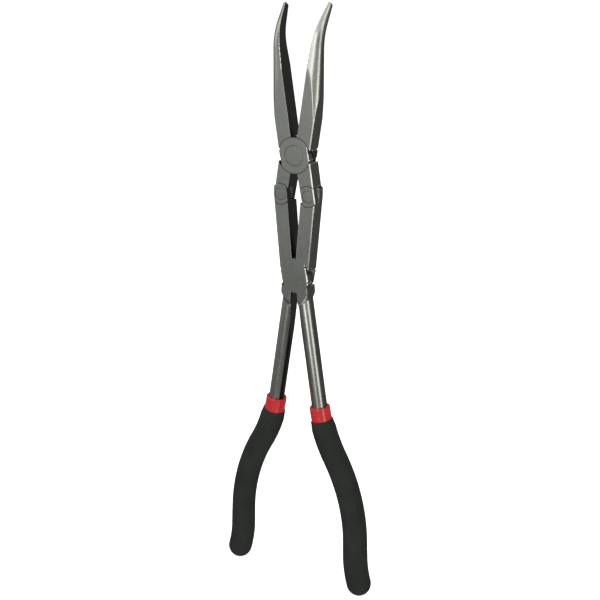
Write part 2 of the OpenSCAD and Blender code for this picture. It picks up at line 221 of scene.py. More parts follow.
def notches(x, z, across, up):
    """The four diamond-shaped cuts beside a boss."""
    d = np.abs(np.abs(x) - across) + np.abs(np.abs(z) - up)
    return (d - NOTCH) / math.sqrt(2)


def flat_piece(outline, thick, side, fine=FINE):
    """An outline cut from a plate with crisp edges, apart from those along side, which are broken."""
    return np.maximum(meet(outline, thick, fine), bevel(side, thick, EDGE))


def hole(x, y, z, head_r, shank_r, head_t, lap, cx=0.0, cz=0.0):
    """A rivet's hole with its head's seat in the face of the FRONT or the BACK lap."""
    shank = disc(x, z, shank_r + HEAD_GAP, cx, cz)
    head = np.maximum(disc(x, z, head_r + HEAD_GAP, cx, cz), HALF_T - head_t - lap * y)
    return np.minimum(shank, head)


def unbend(y, z):
    """Distance along the nose's middle, and offset from it."""
    dy, dz = BEND_R - y, z - BEND_START
    turn = np.arctan2(dz, np.maximum(dy, 0.01))
    along = BEND_START + BEND_R * turn
    off = BEND_R - np.hypot(dy, dz)
    py = y - BEND_R * (1 - math.cos(BEND))
    pz = dz - BEND_R * math.sin(BEND)
    past = turn > BEND
    s_past = BEND_START + BEND_R * BEND + py * math.sin(BEND) + pz * math.cos(BEND)
    along = np.where(past, s_past, np.where(dz < 0, z, along))
    off = np.where(past, py * math.cos(BEND) - pz * math.sin(BEND), np.where(dz < 0, y, off))
    return along, off


def jaw_field(lap):
    """A jaw with its nose towards +X, which keeps the FRONT or the BACK lap."""
    def field(x, y, z):
        s, off = unbend(y, z)
        k = (s - CONE_ROOT) / (NOSE_LEN - CONE_ROOT)
        deep, wide = between(NOSE_DEEP, k), between(NOSE_WIDE, k)
        half_round = (np.hypot((x - RELIEF) / wide, off / deep) - 1) * deep
        nose = meet(bevel(np.abs(off) - HALF_T, x - NOSE_W, EDGE), half_round, NOSE_RIDGE)
        nose = meet(nose, RELIEF - x, NOSE_EDGE)
        nose = np.maximum(meet(nose, s - NOSE_LEN, TIP_ROUND), -s)
        thick = np.abs(y) - HALF_T
        sides = np.abs(x) - JAW_BOSS_W / 2
        boss = flat_piece(meet(disc(x, z, BOSS_R), sides, BOSS_CORNER), thick, sides)
        outer = -right_of(x, z, *TAIL_OUT)
        inner = right_of(x, z, *TAIL_IN)
        end = np.minimum(EZ - ELBOW_SIDE - z, disc(x, z, ELBOW_R, EX, EZ))
        bar = np.maximum(meet(np.maximum(outer, inner), end, BAR_CORNER), z + BAR_ROOT)
        body = np.minimum(np.minimum(boss, flat_piece(bar, thick, outer)), nose)
        body = meet(body, -notches(x, z, JAW_NOTCH_X, JAW_NOTCH_Z), FINE)
        seats = np.minimum(disc(x, z, SEAT_R), disc(x, z, ELBOW_SEAT_R, EX, EZ))
        body = meet(body, -np.maximum(seats, lap * y - LAP), FINE)
        body = meet(body, -hole(x, y, z, JAW_HEAD_R, JAW_SHANK_R, JAW_HEAD_T, lap), FINE)
        return meet(body, -hole(x, y, z, ELBOW_HEAD_R, ELBOW_SHANK_R, ELBOW_HEAD_T, lap, EX, EZ), FINE)
    return field


def rod_field(x, y, z, thick):
    """A handle's rod with the flat shoulder that it grows out of."""
    c, s = math.cos(ROD_LEAN), math.sin(ROD_LEAN)
    rx, rz = x * c - z * s - ROD_OFF, x * s + z * c
    side = meet(rx - SHOULDER_OUT, right_of(rx, rz, *SHOULDER_TAPER), SHOULDER_TURN)
    slab = np.maximum(np.maximum(side, -SHOULDER_IN - rx),
                      np.maximum(rz + SHOULDER_TOP, -SHOULDER_LOW - rz))
    slab = flat_piece(slab, thick, side)
    fade = np.hypot(rx + FADE_X, y) - FADE_R - FADE_SLOPE * (rz + SHOULDER_LOW)
    shoulder = meet(slab, fade / math.hypot(1, FADE_SLOPE), FADE_EDGE)
    rod = meet(np.maximum(np.hypot(rx, y) - ROD_R, rz + ROD_TOP), -ROD_LEN - ROD_UNDER - rz, ROD_END)
    return join(shoulder, rod, ROD_FILLET)


def handle_field(x, y, z):
    """The right handle down to inside its sleeve: arm along +Z, front laps."""
    thick = np.abs(y) - HALF_T
    sides = np.abs(x) - HANDLE_BOSS_W / 2
    boss = flat_piece(meet(disc(x, z, BOSS_R), sides, BOSS_CORNER), thick, sides, 0.0)
    outer = np.maximum(-right_of(x, z, *ARM_OUT[:2]), -right_of(x, z, *ARM_OUT[1:]))
    inner = np.maximum(right_of(x, z, *ARM_IN), x - ARM_IN[1][0])
    end = np.minimum(z - ARM_LEN - ELBOW_SIDE, disc(x, z, ELBOW_R, 0.0, ARM_LEN))
    bar = np.maximum(meet(np.maximum(outer, inner), end, BAR_CORNER), BAR_ROOT - z)
    body = np.minimum(np.minimum(boss, flat_piece(bar, thick, outer)), rod_field(x, y, z, thick))
    body = meet(body, -notches(x, z, HANDLE_NOTCH_X, HANDLE_NOTCH_Z), FINE)
    c, s = math.cos(ARM_LEAN_CLOSED), math.sin(ARM_LEAN_CLOSED)
    cx, cz = x * c - z * s, x * s + z * c
    body = meet(body, -np.maximum(-ARM_GAP - cx, BOSS_R - cz), ARM_GAP_CORNER)
    body = meet(body, -np.maximum(cx - LOW_GAP, BOSS_R + cz), LOW_GAP_CORNER)
    body = np.maximum(body, -np.maximum(disc(x, z, HANDLE_SEAT_R), -y - LAP))
    body = meet(body, -np.maximum(disc(x, z, ELBOW_SEAT_R, 0.0, ARM_LEN), -y - LAP), FINE)
    body = meet(body, -hole(x, y, z, HANDLE_HEAD_R - HEAD_GAP, HANDLE_SHANK_R, HANDLE_HEAD_T, FRONT))
    elbow_hole = hole(x, y, z, ELBOW_HEAD_R, ELBOW_SHANK_R, ELBOW_HEAD_T, FRONT, 0.0, ARM_LEN)
    return meet(body, -elbow_hole, FINE)


# ---------------------------------------------------------------- a field's surface as quads

TINY, SHORT = 1e-12, 1e-9   # these keep divisions finite
PASSES, SHY = 4, 0.02       # of false position, and how far each one keeps from a stretch's ends
WEAK = 0.08         # of the strongest: a direction that the normals fix less than this stays put
REACH = 0.9         # how far of a cell's size its vertex may move from the mean point
INSET = 0.4         # corner normals are taken this far in from the corner
WEAR_FULL = 0.16    # mean drop beside a vertex that counts as fully worn


def slope(field, p, step=0.01):
    """The field's direction of growth at each point, of length 1."""
    g = np.empty_like(p)
    for i in range(3):
        e = np.zeros(3)
        e[i] = step
        hi, lo = p + e, p - e
        g[:, i] = field(hi[:, 0], hi[:, 1], hi[:, 2]) - field(lo[:, 0], lo[:, 1], lo[:, 2])
    return g / np.maximum(np.linalg.norm(g, axis=1, keepdims=True), SHORT)


def crossings(field, inside, values, low, h, axis):
    """Grid edges along axis that the surface crosses.

    Gives their start nodes, the points on the surface, and whether the start is inside.
    """
    a = [slice(None)] * 3
    b = [slice(None)] * 3
    a[axis], b[axis] = slice(None, -1), slice(1, None)
    nodes = np.argwhere(inside[tuple(a)] != inside[tuple(b)])
    ahead = nodes.copy()
    ahead[:, axis] += 1
    f0, f1 = values[tuple(nodes.T)].astype(float), values[tuple(ahead.T)].astype(float)
    t0, t1 = np.zeros(len(nodes)), np.ones(len(nodes))
    base = low + h * nodes
    for _ in range(PASSES):
        t = t0 + (t1 - t0) * np.clip(f0 / (f0 - f1 + TINY), SHY, 1 - SHY)
        p = base.copy()
        p[:, axis] += h * t
        f = field(p[:, 0], p[:, 1], p[:, 2])
        same = (f < 0) == (f0 < 0)
        t0, f0 = np.where(same, t, t0), np.where(same, f, f0)
        t1, f1 = np.where(same, t1, t), np.where(same, f1, f)
    return nodes, p, inside[tuple(nodes.T)]


def surface(field, low, high, h):
    """Dual contouring: vertices, quads and a normal for each corner. Sharp edges stay sharp."""
    low = np.array(low, float)
    counts = np.ceil((np.array(high) - low) / h).astype(int) + 1
    ticks = [low[i] + h * np.arange(counts[i]) for i in range(3)]
    grid = np.meshgrid(*[t.astype(np.float32) for t in ticks], indexing="ij")
    values = field(*grid)
    inside = values < 0
    cells_n = counts - 1
    strides = np.array([cells_n[1] * cells_n[2], cells_n[2], 1])
    owners, points, normals, edges = [], [], [], []
    for axis in range(3):
        nodes, p, start_in = crossings(field, inside, values, low, h, axis)
        n = slope(field, p)
        u, v = (axis + 1) % 3, (axis + 2) % 3
        four = []
        for du, dv in ((-1, -1), (0, -1), (0, 0), (-1, 0)):
            cell = nodes.copy()
            cell[:, u] += du
            cell[:, v] += dv
            four.append(cell @ strides)
            owners.append(four[-1])
            points.append(p)
            normals.append(n)
        edges.append((np.stack(four, 1), start_in))
    owners, points, normals = np.concatenate(owners), np.vstack(points), np.vstack(normals)
    ids, where = np.unique(owners, return_inverse=True)
    many = len(ids)

    def total(weights):
        return np.bincount(where, weights, many)

    count = total(np.ones(len(where)))
    mass = np.stack([total(points[:, i]) for i in range(3)], 1) / count[:, None]
    off = ((points - mass[where]) * normals).sum(1)
    ata = np.empty((many, 3, 3))
    for i in range(3):
        for j in range(3):
            ata[:, i, j] = total(normals[:, i] * normals[:, j])
    atb = np.stack([total(normals[:, i] * off) for i in range(3)], 1)
    w, vecs = np.linalg.eigh(ata)
    keep = w > WEAK * w[:, -1:]
    inv = np.where(keep, 1 / np.where(keep, w, 1), 0)
    move = np.einsum("nij,nj,nkj,nk->ni", vecs, inv, vecs, atb)
    size = np.linalg.norm(move, axis=1, keepdims=True)
    move *= np.minimum(1, REACH * h / np.maximum(size, SHORT))
    verts = mass + move
    quads = []
    for four, start_in in edges:
        q = np.searchsorted(ids, four)
        quads.append(np.where(start_in[:, None], q, q[:, ::-1]))
    quads = np.vstack(quads)
    centre = verts[quads].mean(1)
    corners = verts[quads] * (1 - INSET) + centre[:, None, :] * INSET
    corner_n = slope(field, corners.reshape(-1, 3)).reshape(-1, 4, 3)
    return verts, quads, corner_n


def edge_wear(verts, quads, corner_n):
    """For each vertex, how convex the surface is there, spread a little, and its mean normal."""
    many = len(verts)
    flatq = quads.reshape(-1)
    centre = verts[quads].mean(1)
    away = centre[:, None, :] - verts[quads]
    away /= np.maximum(np.linalg.norm(away, axis=2, keepdims=True), SHORT)
    mean_n = np.stack([np.bincount(flatq, corner_n[..., i].reshape(-1), many) for i in range(3)], 1)
    mean_n /= np.maximum(np.linalg.norm(mean_n, axis=1, keepdims=True), SHORT)
    drop = -(away * mean_n[quads]).sum(2)
    count = np.bincount(flatq, minlength=many)
    wear = np.bincount(flatq, drop.reshape(-1), many) / np.maximum(count, 1)
    for _ in range(2):
        face = wear[quads].mean(1)
        wear = np.bincount(flatq, np.repeat(face, 4), many) / np.maximum(count, 1)
    return np.clip(wear / WEAR_FULL, 0, 1), mean_n


# ---------------------------------------------------------------- meshes

SEAM_IN = 0.08                          # a dark seam runs this far inside a seat's wall
SEAM_REACH, SEAM_CORE = 0.28, 1.25      # it fades out over its reach, after a core that is quite dark
FACE_BAND = 0.4                         # depth from the ground faces down to which seams show
# WALL_BAND to FULL_SHADE, apart from FLAT_RAMP, shape the painted shade: colour darkened on sides that face
# the other half, on seat walls and in notches, and less on outer sides.
WALL_BAND, WALL_DEPTH = 0.12, 0.3       # how near a wall's circle, and how deep, a vertex is on it
NOTCH_BAND, NOTCH_FRONT = 0.3, -0.5     # the notches are in the shade behind this Y
FLAT_RAMP = 0.9965, 0.002               # of a normal's share along Y, where a ground flat begins
INNER_RAMP, OUTER_RAMP = (0.5, 0.3), (0.6, 0.35)  # of its share along X, for the sides' shades
OUTER_SHADE = 0.65                      # of an outer side, where an inner side's shade is 1
FULL_SHADE = 0.99                       # from here on no wear shows


def rotation(a):
    """As OpenSCAD's rotate([0, a, 0]): +Z goes towards +X."""
    return np.array([[math.cos(a), 0, math.sin(a)], [0, 1, 0], [-math.sin(a), 0, math.cos(a)]])


def ramp(value, start, span):
    """0 up to start, then rising to 1 over span."""
    return np.clip((value - start) / span, 0, 1)


def add_mesh(name, verts, faces, corner_n=None, attributes=None, smooth=True):
    """An object of quads, with a normal for each corner and named numbers for each vertex."""
    mesh = bpy.data.meshes.new(name)
    faces = np.asarray(faces)
    mesh.vertices.add(len(verts))
    mesh.vertices.foreach_set("co", np.asarray(verts, np.float32).reshape(-1))
    mesh.loops.add(faces.size)
    mesh.loops.foreach_set("vertex_index", faces.reshape(-1).astype(np.int32))
    mesh.polygons.add(len(faces))
    mesh.polygons.foreach_set("loop_start", (np.arange(len(faces)) * faces.shape[1]).astype(np.int32))
    mesh.polygons.foreach_set("use_smooth", np.full(len(faces), smooth))
    mesh.update(calc_edges=True)
    for key, values in (attributes or {}).items():
        a = mesh.attributes.new(key, "FLOAT", "POINT")
        a.data.foreach_set("value", np.asarray(values, np.float32))
    if corner_n is not None:
        mesh.normals_split_custom_set(corner_n.reshape(-1, 3).tolist())
    mesh.validate(clean_customdata=False)
    obj = bpy.data.objects.new(name, mesh)
    bpy.context.scene.collection.objects.link(obj)
    return obj


def from_rings(verts, rings):
    """The distance in XZ from each vertex to the nearest of some circles, each (radius, x, z)."""
    return np.min([np.abs(disc(verts[:, 0], verts[:, 2], *ring)) for ring in rings], 0)


def seam_dirt(verts, rings):
    """1 beside the gaps round rivets and rounded ends, where oil and dirt collect."""
    if not rings:
        return np.zeros(len(verts))
    on_face = np.abs(verts[:, 1]) > HALF_T - FACE_BAND
    return np.clip(SEAM_CORE - from_rings(verts, rings) / SEAM_REACH, 0, 1) * on_face


def painted_side_shade(verts, normals, marks, shade_end):
    """Painted shade: how dark a side's colour is made, 1 facing the other half, on the seats' walls and in
    the notches.

    Outer sides have less. Ground faces have none.
    """
    x, y, z = verts.T
    across, up = marks["notch"]
    facing = normals[:, 0] * marks["inner"] * np.sign(z) * (z > shade_end)
    walls = from_rings(verts, marks["seams"] + marks["flush"]) < WALL_BAND
    walls &= (np.abs(y) < HALF_T - WALL_DEPTH) & (np.abs(normals[:, 1]) < 0.5)
    notched = (np.abs(x) > across - NOTCH_BAND) & (np.abs(z) < up) & (y > NOTCH_FRONT)
    outer = OUTER_SHADE * ramp(np.abs(normals[:, 0]), *OUTER_RAMP)
    return np.max([ramp(facing, *INNER_RAMP), outer, walls | notched], 0)


def place_forging(made, name, turn, origin, marks, shade_end=-math.inf, flip=False):
    """A surface turned and moved to the row frame; flip mirrors it in X first.

    marks holds seams, which show dark, flush ones, which are ground over and hardly show, the
    half width and half height between the boss's notches, and the way that the upper half's
    inner side faces, -1 or 1 along X. shade_end is the height at which the painted shade on the inner side
    ends.
    """
    verts, quads, corner_n = made
    wear, mean_n = edge_wear(verts, quads, corner_n)
    flats = ramp(np.abs(mean_n[:, 1]), *FLAT_RAMP)
    painted_shade = painted_side_shade(verts, mean_n, marks, shade_end)
    seam, flush = seam_dirt(verts, marks["seams"]), seam_dirt(verts, marks["flush"])
    if flip:
        mirror = np.array([-1.0, 1.0, 1.0])
        verts, corner_n, quads = verts * mirror, (corner_n * mirror)[:, ::-1], quads[:, ::-1]
    verts = verts @ turn.T * MM + np.array(origin)
    # The attribute inner carries the painted shade; wear is left off where that painted shade is full.
    return add_mesh(name, verts, quads, corner_n @ turn.T, {
        "wear": wear * (1 - np.maximum(seam, flush)) * (painted_shade < FULL_SHADE),
        "flats": np.maximum(flats, flush), "seam": seam, "inner": painted_shade})


STEP = 0.27      # size of a grid cell
HALF_TURN = np.diag([-1.0, -1.0, 1.0])
JAW_LOW, JAW_HIGH = (-11.0, -5.7, -30.2), (10.4, 13.4, 81.2)
HANDLE_LOW, HANDLE_HIGH = (-11.0, -5.7, -91.0), (14.0, 5.7, 53.2)
right_jaw = surface(jaw_field(BACK), JAW_LOW, JAW_HIGH, STEP)
left_jaw = surface(jaw_field(FRONT), JAW_LOW, JAW_HIGH, STEP)
handle = surface(handle_field, HANDLE_LOW, HANDLE_HIGH, STEP)

JAW_MARKS = {
    "seams": ((JAW_HEAD_R, 0, 0), (ELBOW_HEAD_R, EX, EZ),
              (SEAT_R - SEAM_IN, 0, 0), (ELBOW_SEAT_R - SEAM_IN, EX, EZ)),
    "flush": (),
    "notch": (JAW_BOSS_W / 2, JAW_NOTCH_Z),
    "inner": -1,
}
HANDLE_MARKS = {
    "seams": ((ELBOW_HEAD_R, 0, ARM_LEN), (ELBOW_SEAT_R - SEAM_IN, 0, ARM_LEN)),
    "flush": ((HANDLE_HEAD_R, 0, 0), (SEAT_R - SEAM_IN, 0, 0)),
    "notch": (HANDLE_BOSS_W / 2, HANDLE_NOTCH_Z),
    "inner": 1,
}
# Below this height the right handle's inner side gets no painted shade.
RIGHT_SHADE_END = -32.0     # below this the right rod is as bright inside as outside
forgings = {
    "jaw_right": place_forging(right_jaw, "jaw_right_forging", rotation(JAW_OPEN), JAW_PIVOT, JAW_MARKS),
    "jaw_left": place_forging(left_jaw, "jaw_left_forging", rotation(-JAW_OPEN), JAW_PIVOT, JAW_MARKS,
                              flip=True),
    "handle_right": place_forging(handle, "handle_right_forging", rotation(-ARM_LEAN), HANDLE_PIVOT,
                                  HANDLE_MARKS, RIGHT_SHADE_END),
    "handle_left": place_forging(handle, "handle_left_forging", rotation(ARM_LEAN) @ HALF_TURN,
                                 HANDLE_PIVOT, HANDLE_MARKS),
}

# ---------------------------------------------------------------- swept and turned pieces

AROUND_ROD, AROUND_RIVET = 72, 96
TANG_INSET = 6.0                        # from the sleeve's rim and the run's end to a tang's round ends
SLEEVE_END, BORE_END = 5.0, 5.0         # the sleeve and the grip's bore stop this far before the run's end
ROD_POLE, GRIP_POLE = 0.05, 0.04        # degrees from the middle line at which round ends stop
GRIP_ROUND = 86.0                       # degrees from it at which a grip's round ends begin
SHARP = 0.8                             # cosine below which two stretches of a profile meet in an edge


def run_at(s):
    """The rod's middle at distance s past the sleeve's rim, in the rod's frame: x, z and lean."""
    x, z, lean = 0.0, -ROD_LEN, 0.0
    xs, zs, leans = np.zeros_like(s), -ROD_LEN - s, np.zeros_like(s)
    start = 0.0
    for bend, size in RUN:
        length = size if bend is None else bend * math.radians(abs(size))
        way = 0.0 if bend is None else math.copysign(1.0, size) / bend
        here = s > start
        t = np.minimum(s - start, length)
        if bend is None:
            px, pz = x + t * math.sin(lean), z - t * math.cos(lean)
        else:
            px = x + (np.cos(lean) - np.cos(lean + way * t)) / way
            pz = z - (np.sin(lean + way * t) - np.sin(lean)) / way
        beyond = np.maximum(s - start - length, 0)
        end_lean = lean + way * length
        px, pz = px + beyond * math.sin(end_lean), pz - beyond * math.cos(end_lean)
        xs, zs = np.where(here, px, xs), np.where(here, pz, zs)
        leans = np.where(here, lean + way * t, leans)
        if bend is None:
            x, z = x + length * math.sin(lean), z - length * math.cos(lean)
        else:
            x += (math.cos(lean) - math.cos(end_lean)) / way
            z -= (math.sin(end_lean) - math.sin(lean)) / way
        lean, start = end_lean, start + length
    return xs, zs, leans


RUN_LEN = sum(size if bend is None else bend * math.radians(abs(size)) for bend, size in RUN)


def ring_normals(profile, loop):
    """A normal for both ends of each stretch of a profile of (along, radius).

    They are smooth except at sharp corners.
    """
    p = np.array(profile)
    d = np.roll(p, -1, 0) - p
    size = np.linalg.norm(d, axis=1)
    n = np.stack([-d[:, 1], d[:, 0]], 1) / np.maximum(size, SHORT)[:, None]
    pairs = []
    count = len(p) if loop else len(p) - 1
    for i in range(count):
        ends = []
        for other in (i - 1, (i + 1) % len(p)):
            near = n[i] * size[i]
            real = loop or 0 <= other < count
            if real and n[i] @ n[other] > SHARP:
                near = near + n[other] * size[other]
            ends.append(near / np.linalg.norm(near))
        pairs.append(ends)
    return np.array(pairs)


def ring_quads(first, second, first_n, second_n):
    """Quads from each first ring to its second one, and a normal for each of their corners."""
    around = first_n.shape[1]
    k0, k1 = np.arange(around), (np.arange(around) + 1) % around
    a, b = first[:, None] * around, second[:, None] * around
    quads = np.stack([a + k0, b + k0, b + k1, a + k1], 2).reshape(-1, 4)
    corner_n = np.stack([first_n[:, k0], second_n[:, k0], second_n[:, k1], first_n[:, k1]], 2)
    return quads, corner_n.reshape(-1, 4, 3)


def circle(around):
    """Cosines and sines of equal steps round a circle."""
    phi = 2 * math.pi * np.arange(around) / around
    return np.cos(phi), np.sin(phi)


def swept(profile, loop):
    """A round piece along the run, from a profile of (distance, radius), in the handle's frame."""
    p = np.array(profile, float)
    x, z, lean = run_at(p[:, 0])
    cos, sin = circle(AROUND_ROD)

    def spread(i, out, along):
        """Vectors at profile points i: out along the radius, along down the run."""
        cl, sl = np.cos(lean[i])[:, None], np.sin(lean[i])[:, None]
        out, along = out[:, None], along[:, None]
        return np.stack([out * cos * cl + along * sl, out * sin + 0 * cl, out * cos * sl - along * cl], 2)

    every = np.arange(len(p))
    verts = spread(every, p[:, 1], 0 * p[:, 1]) + np.stack([x, 0 * x, z], 1)[:, None, :]
    normals = ring_normals(profile, loop)
    first = np.arange(len(normals))
    second = (first + 1) % len(p)
    quads, corner_n = ring_quads(first, second, spread(first, normals[:, 0, 1], normals[:, 0, 0]),
                                 spread(second, normals[:, 1, 1], normals[:, 1, 0]))
    verts = verts.reshape(-1, 3) + np.array([ROD_OFF, 0, 0])
    turn = rotation(ROD_LEAN)
    return verts @ turn.T, quads, corner_n @ turn.T


def lathe(profile):
    """A round piece along Y, from an open profile of (y, radius)."""
    p = np.array(profile, float)
    cos, sin = circle(AROUND_RIVET)

    def spread(out, y):
        out, y = out[:, None], y[:, None]
        return np.stack([out * cos, y + 0 * cos, -out * sin], 2)

    normals = ring_normals(profile, False)
    first = np.arange(len(normals))
    quads, corner_n = ring_quads(first + 1, first, spread(normals[:, 1, 1], normals[:, 1, 0]),
                                 spread(normals[:, 0, 1], normals[:, 0, 0]))
    return spread(p[:, 1], p[:, 0]).reshape(-1, 3), quads, corner_n


def arc(centre, radius, start, end, steps=6):
    """Points on a rounded corner of a profile; angles in degrees from along towards out."""
    angles = np.radians(np.linspace(start, end, steps + 1))
    return [(centre[0] + radius * math.cos(a), centre[1] + radius * math.sin(a)) for a in angles]


def stretch(a, b, step, radius):
    """Points along the run from a to b, whose radius is a function of distance."""
    many = max(2, int(abs(b - a) / step) + 1)
    return [(float(s), float(radius(s))) for s in np.linspace(a, b, many)]


def ease(t):
    """0 to 1 with a soft start and end."""
    t = min(max(t, 0.0), 1.0)
    return t * t * (3 - 2 * t)


def tang_profile():
    """The tang: the rod's hidden end inside the grip, round at both ends."""
    start, end = TANG_INSET + ROD_R, RUN_LEN - TANG_INSET
    return (arc((start, 0), ROD_R, 180 - ROD_POLE, 90, 8)
            + stretch(start + 0.5, end - 0.5, 3.0, lambda s: ROD_R)
            + arc((end, 0), ROD_R, 90, ROD_POLE, 8))


def sleeve_profile():
    """The dipped inner layer: a ring with a soft rim, lost under the grip."""
    bore, end = ROD_R - DIP, RUN_LEN - SLEEVE_END
    rim, foot = (0.2, SLEEVE_R - SLEEVE_RIM), (-0.15, bore + SLEEVE_FOOT)
    return (arc(rim, SLEEVE_RIM, 180, 90) + stretch(rim[0] + SLEEVE_RIM, end, 2.0, lambda s: SLEEVE_R)
            + stretch(end, foot[0], 2.0, lambda s: bore) + arc(foot, SLEEVE_FOOT, 250, 180, 3))


def grip_radius(s):
    """A quick swell below the lip, and a slow one towards the grip's end."""
    top = between((GRIP_TOP_R, GRIP_MID_R), ease((s - SLEEVE_SHOW - 0.2) / GRIP_SWELL))
    return top + (GRIP_END_R - GRIP_MID_R) * ease((s - GRIP_FLARE_AT) / GRIP_FLARE)


def grip_profile():
    """The dipped outer layer: a rounded lip, a slow swell and a round end, hollow over the sleeve."""
    top, end, bore = SLEEVE_SHOW, RUN_LEN, SLEEVE_R - DIP
    outside = (arc((top + GRIP_LIP, GRIP_TOP_R - GRIP_LIP), GRIP_LIP, 180, 90)
               + stretch(top + 2 * GRIP_LIP, end, 1.2, grip_radius)
               + arc((end, 0), GRIP_END_R, GRIP_ROUND, GRIP_POLE, 20))
    inside = (arc((end - BORE_END, 0), bore, GRIP_POLE, GRIP_ROUND, 8)
              + stretch(end - BORE_END - 0.4, top + 0.1, 2.0, lambda s: bore))
    return outside + inside + [(top, bore + 0.08)]


def rivet_profile(head_r, shank_r, head_t, soft, proud):
    """Two flush heads on a shank, with a soft edge round each head, and faintly domed."""
    face = -HALF_T
    front = [(face - proud, 0.002), (face - proud * 0.9, head_r * 0.35), (face - proud * 0.55, head_r * 0.7)]
    front += [(face, head_r - soft)]
    for a in np.radians((30, 60, 90)):
        front += [(face + soft * (1 - math.cos(a)), head_r - soft * (1 - math.sin(a)))]
    front += [(face + head_t, head_r), (face + head_t, shank_r)]
    return front + [(-y, r) for y, r in reversed(front)]


def add_rivet(name, profile, origin):
    verts, quads, corner_n = lathe(profile)
    return add_mesh(name, verts * MM + np.array(origin), quads, corner_n)


def add_swept(name, profile, loop, turn):
    verts, quads, corner_n = swept(profile, loop)
    return add_mesh(name, verts @ turn.T * MM + np.array(HANDLE_PIVOT), quads, corner_n @ turn.T)


jaw_head = rivet_profile(JAW_HEAD_R, JAW_SHANK_R, JAW_HEAD_T, soft=0.12, proud=0.03)
handle_head = rivet_profile(HANDLE_HEAD_R, HANDLE_SHANK_R, HANDLE_HEAD_T, soft=0.03, proud=0.0)
elbow_head = rivet_profile(ELBOW_HEAD_R, ELBOW_SHANK_R, ELBOW_HEAD_T, soft=0.12, proud=0.02)
rivets = {node: add_rivet(node + "_turned", profile, pivot) for node, profile, pivot in (
    ("jaw_rivet", jaw_head, JAW_PIVOT),
    ("handle_rivet", handle_head, HANDLE_PIVOT),
    ("elbow_rivet_left", elbow_head, ELBOW_LEFT),
    ("elbow_rivet_right", elbow_head, ELBOW),
)}
SIDES = (("right", rotation(-ARM_LEAN)), ("left", rotation(ARM_LEAN) @ HALF_TURN))
tangs = {"handle_" + side: add_swept("tang_" + side, tang_profile(), False, turn) for side, turn in SIDES}
sleeves = {"sleeve_" + side: add_swept("sleeve_" + side + "_dipped", sleeve_profile(), True, turn)
           for side, turn in SIDES}
grips = {"grip_" + side: add_swept("grip_" + side + "_dipped", grip_profile(), True, turn)
         for side, turn in SIDES}

# ---------------------------------------------------------------- materials

STEEL_DARK, STEEL_PALE, STEEL_GRAIN = (0.38, 0.385, 0.345), (0.42, 0.425, 0.38), (0.56, 0.56, 0.52)
GROUND_DARK, GROUND_PALE, GROUND_GRAIN = (0.26, 0.27, 0.25), (0.29, 0.30, 0.28), (0.42, 0.43, 0.40)
GROUND_LINE = (0.40, 0.41, 0.38)
# PAINTED_SHADE_GREY is the near-black of the painted shade; WORN and DIRT are the steel's own wear and dirt.
PAINTED_SHADE_GREY, WORN, DIRT = (0.048, 0.05, 0.044), (0.60, 0.60, 0.56), (0.03, 0.03, 0.027)
RED_DARK, RED_PALE = (0.33, 0.005, 0.008), (0.36, 0.006, 0.009)
BLACK_DARK, BLACK_PALE, BLACK_GRAIN = (0.0075, 0.009, 0.0075), (0.012, 0.014, 0.012), (0.026, 0.029, 0.025)

NOISE = 0.3, 0.7                        # most of a noise's values lie between these
MIX_A, MIX_B, MIX_OUT = 6, 7, 2         # a mix node's colour sockets


def mix_colours(nodes, links, fac, a, b):
    """From a to b by the socket fac; each is a socket, a colour or a grey."""
    node = nodes.new("ShaderNodeMix")
    node.data_type = "RGBA"
    links.new(fac, node.inputs["Factor"])
    for socket, value in ((node.inputs[MIX_A], a), (node.inputs[MIX_B], b)):
        if isinstance(value, float):
            socket.default_value = (value, value, value, 1.0)
        elif isinstance(value, tuple):
            socket.default_value = (*value, 1.0)
        else:
            links.new(value, socket)
    return node.outputs[MIX_OUT]


class Tree:
    """Small helper round a material's node tree."""

    def __init__(self, name):
        self.material = bpy.data.materials.new(name)
        self.material.use_nodes = True
        self.nodes = self.material.node_tree.nodes
        self.links = self.material.node_tree.links
        self.shader = self.nodes["Principled BSDF"]
        self.place = self.add("ShaderNodeTexCoord").outputs["Object"]

    def add(self, kind, **values):
        node = self.nodes.new(kind)
        for key, value in values.items():
            setattr(node, key, value)
        return node

    def set(self, socket, value):
        self.shader.inputs[socket].default_value = value

    def noise(self, scale, detail=3.0, rough=0.5, stretch_by=None):
        node = self.add("ShaderNodeTexNoise")
        node.inputs["Scale"].default_value = scale
        node.inputs["Detail"].default_value = detail
        node.inputs["Roughness"].default_value = rough
        source = self.place
        if stretch_by:
            mapping = self.add("ShaderNodeMapping")
            mapping.inputs["Scale"].default_value = stretch_by
            self.links.new(source, mapping.inputs["Vector"])
            source = mapping.outputs["Vector"]
        self.links.new(source, node.inputs["Vector"])
        return node.outputs["Fac"]

    def remap(self, value, low, high, to_low, to_high):
        node = self.add("ShaderNodeMapRange")
        for key, number in zip(("From Min", "From Max", "To Min", "To Max"), (low, high, to_low, to_high)):
            node.inputs[key].default_value = number
        self.links.new(value, node.inputs["Value"])
        return node.outputs["Result"]

    def blend(self, fac, a, b):
        return mix_colours(self.nodes, self.links, fac, a, b)

    def sum(self, a, b):
        node = self.add("ShaderNodeMath", operation="ADD")
        for socket, value in zip(node.inputs, (a, b)):
            if isinstance(value, (int, float)):
                socket.default_value = value
            else:
                self.links.new(value, socket)
        return node.outputs[0]

    def attribute(self, name):
        return self.add("ShaderNodeAttribute", attribute_name=name).outputs["Fac"]

    def bump(self, height, strength, distance, after=None):
        node = self.add("ShaderNodeBump")
        node.inputs["Strength"].default_value = strength
        node.inputs["Distance"].default_value = distance
        self.links.new(height, node.inputs["Height"])
        if after is not None:
            self.links.new(after, node.inputs["Normal"])
        return node.outputs["Normal"]

    def to(self, socket, value):
        self.links.new(value, self.shader.inputs[socket])


